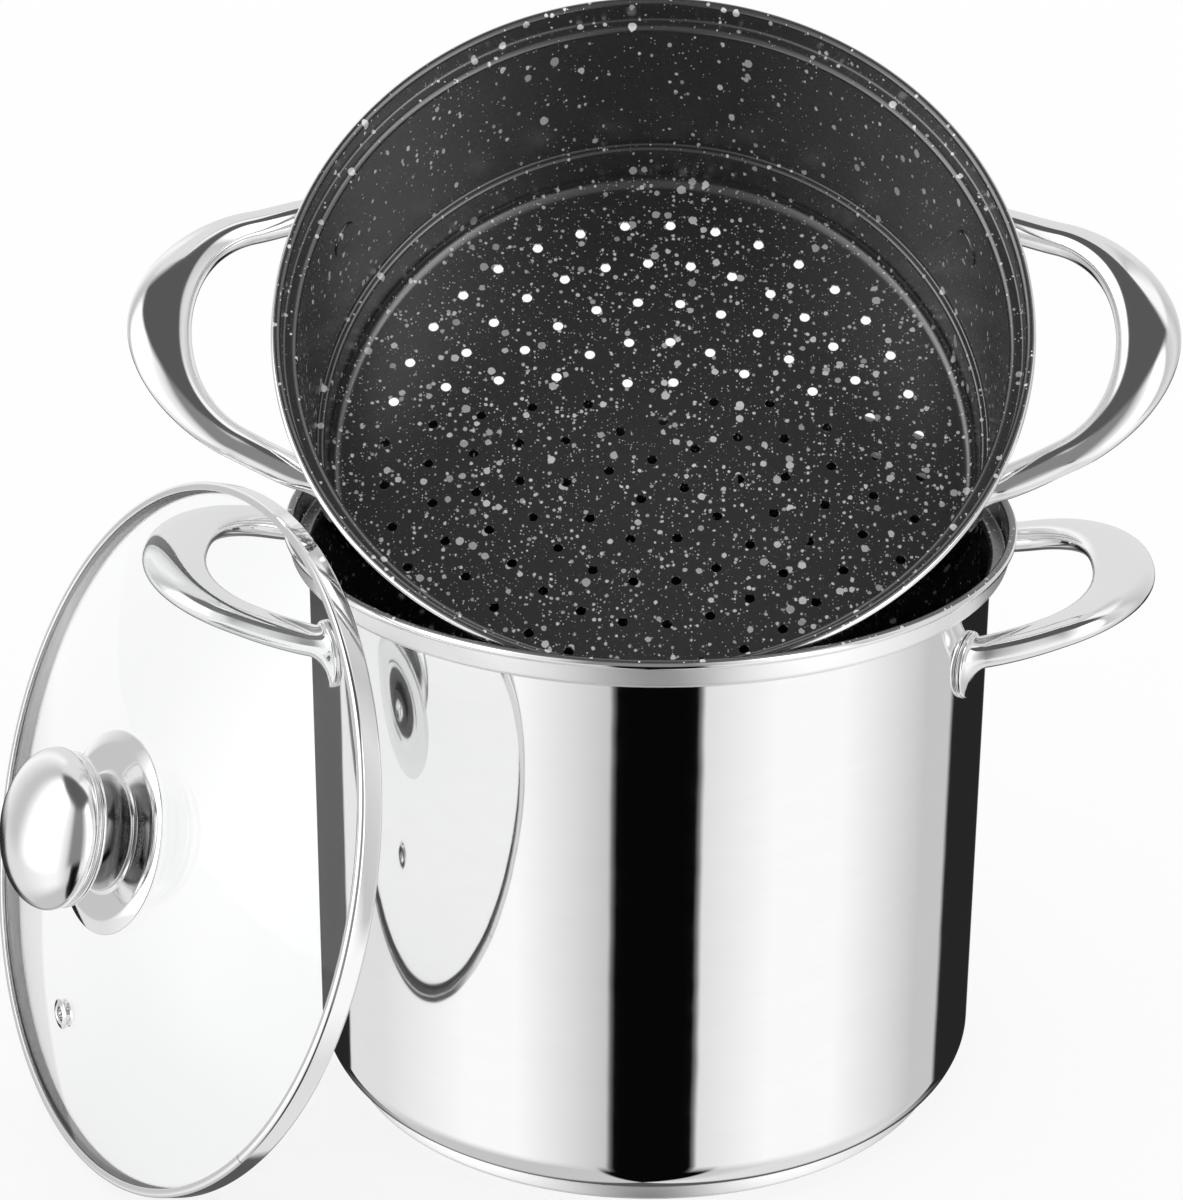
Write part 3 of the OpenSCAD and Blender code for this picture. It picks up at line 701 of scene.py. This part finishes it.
pot_grip = Grip(POT_MID + SHEET / 2, 45.8, 13.4, 30.3, 125.2, 2.28, 12.7, 1.75)
steamer_grip = Grip(STEAMER_MID + SHEET / 2, 43.9, 11.4, 20.0, 129.0, 1.85, 13.5, 3.5)
for side, mirrored in (("left", True), ("right", False)):
    handle("pot_handle_" + side, pot_grip, IN_POT, cast_steel, mirrored)
    handle("steamer_handle_" + side, steamer_grip, IN_STEAMER, steamer_cast, mirrored)


# Rivet heads, coated with the inside of the wall

def rivet_heads(name, mid, place, material, node):
    bm = bmesh.new()
    inside = mid - SHEET / 2
    edge = 0.75
    outline = ([(0, RIVET_HEAD_T)] + [(RIVET_HEAD_R * t, RIVET_HEAD_T) for t in (0.3, 0.6, 0.8)]
               + arc(RIVET_HEAD_R - edge, RIVET_HEAD_T - edge, edge, 90, 0, 6) + [(RIVET_HEAD_R, -0.2), (0, -0.2)])
    for handle_turn in (0, math.pi):
        for foot in (-1, 1):
            turn = handle_turn + foot * math.radians(FOOT_ANGLE)
            rings = revolve(bm, outline, 48)
            for v in (v for ring in rings for v in ring):
                angle = turn + v.co.x / inside
                r = inside - v.co.z
                v.co = (r * math.cos(angle), r * math.sin(angle), -RIVET_DEPTH + v.co.y)
    piece(name, bm, place, material, node)


rivet_heads("pot_rivet_heads", POT_MID, IN_POT, pot_black, "pot_rivets")
rivet_heads("steamer_rivet_heads", STEAMER_MID, IN_STEAMER, steamer_black, "steamer_rivets")

# Lid

GLASS_END = LID_R - BAND_T - 0.6


def at_vent():
    """Place of the steam vent on the glass, in the lid's frame."""
    tip = math.asin(VENT_R / GLASS_R)
    return (Matrix.Rotation(math.radians(VENT_TURN), 4, "Z") @ Matrix.Translation((0, 0, GLASS_TOP - GLASS_R))
            @ Matrix.Rotation(tip, 4, "Y") @ Matrix.Translation((0, 0, GLASS_R)))


def cut(obj, place, radius, height):
    """Cuts a round hole in an object's mesh."""
    bm = bmesh.new()
    bmesh.ops.create_cone(bm, cap_ends=True, segments=48, radius1=radius, radius2=radius, depth=height)
    mesh = bpy.data.meshes.new("cutter")
    bm.to_mesh(mesh)
    bm.free()
    mesh.transform(Matrix.Scale(0.001, 4) @ place)
    cutter = bpy.data.objects.new("cutter", mesh)
    scene.collection.objects.link(cutter)
    mod = obj.modifiers.new("hole", "BOOLEAN")
    mod.operation = "DIFFERENCE"
    mod.solver = "EXACT"
    mod.object = cutter
    graph = bpy.context.evaluated_depsgraph_get()
    new = bpy.data.meshes.new_from_object(obj.evaluated_get(graph))
    obj.modifiers.clear()
    old = obj.data
    obj.data = new
    bpy.data.meshes.remove(old)
    bpy.data.objects.remove(cutter)
    bpy.data.meshes.remove(mesh)


bm = bmesh.new()
outer_r = [INSERT_R + (GLASS_END - INSERT_R) * i / 60 for i in range(61)]
outer = [(r, GLASS_TOP + glass_z(r)) for r in outer_r]
inner_radius = GLASS_R - GLASS_T
inner = [(r, GLASS_TOP - GLASS_R + math.sqrt(inner_radius ** 2 - r ** 2)) for r in outer_r]
revolve(bm, outer + inner[::-1], 256)
dome = piece("lid_dome", bm, IN_LID, glass, "lid_glass")
cut(dome, IN_LID @ at_vent(), radius=3.1, height=24)

bm = bmesh.new()
edge_r = LID_R - BAND_T / 2 - BAND_BEND
band_path = ([(LID_R - SEAT_LIP_W, BAND_T / 2)] + arc(edge_r, BAND_T / 2 + BAND_BEND, BAND_BEND, -90, 0)
             + arc(edge_r, BAND_H - BAND_T / 2 - BAND_BEND, BAND_BEND, 0, 90) + [(LID_R - LIP_W, BAND_H - BAND_T / 2)])
revolve(bm, strip(band_path, BAND_T), SEGS)
piece("lid_band", bm, IN_LID, band_steel, "lid_rim")

bm = bmesh.new()
under = -GLASS_T - 0.045 - 0.5
revolve(bm, [(2.5, under)] + [(2.5, -0.2)] + arc(3.35, 0.15, 0.85, 180, 60, 8) + [(4.6, 0.5)]
        + arc(5.15, 0.25, 0.25, 70, -90, 6) + [(3.05, 0.0), (3.05, under + 0.5), (5.0, under + 0.5), (5.0, under)], 96)
piece("lid_vent", bm, IN_LID @ at_vent(), knob_steel, "vent_eyelet")

# Knob

half = KNOB_SHEET / 2
neck_z = GASKET_T + half + KNOB_SHEET
neck_top = KNOB_H - 5
plateau_r = SAUCER_R * 2 * 0.28
plateau_z = GASKET_T + half

bm = bmesh.new()
r = SAUCER_R - half
fold = r - 3.6
dish = rounded([(INSERT_R, plateau_z), (plateau_r, plateau_z), (plateau_r + 1.6, plateau_z - 0.7),
                (fold - 1, glass_z(fold) + 1.65), (fold, glass_z(fold) + 1.45), (r, glass_z(r) + half + 0.25)], 0.5)
revolve(bm, strip(dish, KNOB_SHEET), KNOB_SEGS)
piece("knob_dish", bm, ON_KNOB, knob_steel, "knob_saucer")

bm = bmesh.new()
throat = (neck_top - neck_z) / 2
waist = arc(NECK_R - half + throat, neck_z + throat, throat, -90, -270, 40) + [(KNOB_R - 1.7, neck_top)]
revolve(bm, strip(waist, KNOB_SHEET), KNOB_SEGS)
revolve(bm, wire(KNOB_R - 2, neck_top, 0.9), KNOB_SEGS)
piece("knob_waist", bm, ON_KNOB, neck_steel, "knob_neck")

bm = bmesh.new()
r = KNOB_R - half
lip_z = neck_top + 0.9 + 0.55
side = rounded([(r - 1.6, lip_z), (r - 1.5, lip_z + 0.8), (r - 0.4, KNOB_H - 1.4), (r, KNOB_H)], 0.6)
crown = [(r * math.cos(math.radians(i)), KNOB_H + (DOME_H - half) * math.sin(math.radians(i))) for i in range(1, 91)]
revolve(bm, clean(strip(side + crown[:-1] + [(0, KNOB_H + DOME_H - half)], KNOB_SHEET)), KNOB_SEGS)
revolve(bm, wire(r - 1.6, lip_z, 0.55), KNOB_SEGS)
piece("knob_dome", bm, ON_KNOB, dome_steel, "knob_cap")

# Camera, fitted to the photograph: the picture's size, focal length and principal point in pixels, the
# eye in metres and the turns in radians

WIDE, TALL = 1183, 1200
FOCAL = 3487.9
CENTRE_X, CENTRE_Y = 606.88, 600.70
EYE = (0.006465, -1.14722, 0.678905)
SENSOR = 36

yaw, pitch, roll = -0.019, 0.410, 0.008
ahead = Vector((math.sin(yaw) * math.cos(pitch), math.cos(yaw) * math.cos(pitch), -math.sin(pitch)))
right = Vector((math.cos(yaw), -math.sin(yaw), 0))
up = right.cross(ahead)
right, up = right * math.cos(roll) + up * math.sin(roll), up * math.cos(roll) - right * math.sin(roll)
data = bpy.data.cameras.new("camera")
data.sensor_width = SENSOR
data.lens = FOCAL * SENSOR / TALL
data.shift_x = (WIDE / 2 - CENTRE_X) / TALL
data.shift_y = (CENTRE_Y - TALL / 2) / TALL
data.clip_end = 100
camera = bpy.data.objects.new("camera", data)
camera.matrix_world = Matrix.Translation(EYE) @ Matrix((right, up, -ahead)).transposed().to_4x4()
scene.collection.objects.link(camera)
scene.camera = camera

# Floor: white, kept out of the steel's reflections, which show the studio below the horizon too. To the
# camera and through the glass this share of it is plain white, so that its shadows are pale.

FLOOR_GLOW = 0.78

bm = bmesh.new()
bmesh.ops.create_circle(bm, cap_ends=True, segments=96, radius=12)
mesh = bpy.data.meshes.new("floor")
bm.to_mesh(mesh)
bm.free()
floor = bpy.data.objects.new("floor", mesh)
floor.visible_glossy = False
scene.collection.objects.link(floor)
mat = bpy.data.materials.new("floor_white")
mat.use_nodes = True
net = Net(mat.node_tree)
bsdf = mat.node_tree.nodes["Principled BSDF"]
bsdf.inputs["Base Color"].default_value = (0.97, 0.97, 0.97, 1)
bsdf.inputs["Roughness"].default_value = 1.0
bsdf.inputs["Specular IOR Level"].default_value = 0.0
path = net.add("LightPath").node
seen = net.math("MAXIMUM", path.outputs["Is Camera Ray"], path.outputs["Is Transmission Ray"])
white = net.add("Emission", {"Color": (1, 1, 1, 1), "Strength": 1.0})
mixed = net.add("MixShader", {0: net.math("MULTIPLY", seen, FLOOR_GLOW), 1: bsdf.outputs[0], 2: white})
net.put(mat.node_tree.nodes["Material Output"].inputs[0], mixed)
mesh.materials.append(mat)

# Studio: plain white, but in reflections walls of light with softer ends and black flags between them,
# in four storeys. Each storey is given as (degrees from -Y towards +X, strength of the light there).

BLACK, DARK, DIM, GREY, SOFT, LIGHT, WHITE, BRIGHT = 0.002, 0.02, 0.1, 0.25, 0.6, 0.8, 1.05, 2.0
UNDER = [(-180, DIM), (-165, DIM), (-145, SOFT), (-17, SOFT), (-15, BLACK), (27, BLACK), (29, SOFT), (60, LIGHT),
         (140, LIGHT), (155, DIM), (180, DIM)]
LOW = [(-180, GREY), (-173, GREY), (-168, DARK), (-129, DARK), (-128, LIGHT), (-105, LIGHT), (-65, WHITE),
       (-45, WHITE), (-12, SOFT), (-11, BLACK), (18, BLACK), (19, LIGHT), (45, WHITE), (70, WHITE), (110, SOFT),
       (126, SOFT), (127, DARK), (168, DARK), (173, GREY), (180, GREY)]
MIDDLE = [(-180, LIGHT), (-160, LIGHT), (-145, WHITE), (-117, SOFT), (-108, SOFT), (-98, WHITE), (-86, BRIGHT),
          (-56, BRIGHT), (-44, WHITE), (-30, LIGHT), (-18, GREY), (14, GREY), (36, WHITE), (42, BRIGHT), (52, BRIGHT),
          (66, SOFT), (90, LIGHT), (110, SOFT), (150, LIGHT), (180, LIGHT)]
HIGH = [(-180, LIGHT), (-118, LIGHT), (-104, DIM), (74, DIM), (86, WHITE), (110, WHITE), (142, SOFT), (162, LIGHT),
        (180, LIGHT)]
# With each storey, the degrees of elevation between which it takes over from the one below
STOREYS = ((LOW, -52, -36), (MIDDLE, -21, -12), (HIGH, 50, 57))


def ramp(net, share, stops):
    """Colour ramp over the turn from -180 to 180 degrees, through (degrees, strength) stops."""
    node = net.add("ValToRGB", {0: share}).node
    elements = node.color_ramp.elements
    elements[0].position, elements[1].position = 0, 1
    for degrees, _ in stops[1:-1]:
        elements.new((degrees + 180) / 360)
    for element, (_, value) in zip(elements, stops):
        element.color = (value, value, value, 1)
    return net.add("SeparateColor", {0: node.outputs[0]}, 0)


world = bpy.data.worlds.new("studio")
scene.world = world
world.use_nodes = True
world.node_tree.nodes.clear()
net = Net(world.node_tree)
direction = net.add("TexCoord", out="Generated")
x, y, z = (net.add("SeparateXYZ", {0: direction}, i) for i in range(3))
turn = net.math("MULTIPLY_ADD", net.math("ARCTAN2", x, net.math("MULTIPLY", y, -1.0)), 0.5 / math.pi, 0.5)
# Share from 0 at straight down to 1 at straight up
height = net.math("MULTIPLY_ADD", net.math("ARCSINE", z), 1 / math.pi, 0.5)
studio = ramp(net, turn, UNDER)
for storey, start, end in STOREYS:
    share = net.math("MULTIPLY_ADD", height, 180 / (end - start), -(start + 90) / (end - start), clamp=True)
    studio = net.blend(share, studio, ramp(net, turn, storey))
glossy = net.add("LightPath", out="Is Glossy Ray")
level = net.blend(glossy, 1.0, studio)
background = net.add("Background", {"Color": net.grey(level), "Strength": 1.0})
net.put(net.tree.nodes.new("ShaderNodeOutputWorld").inputs[0], background)

scene.view_settings.view_transform = "Standard"
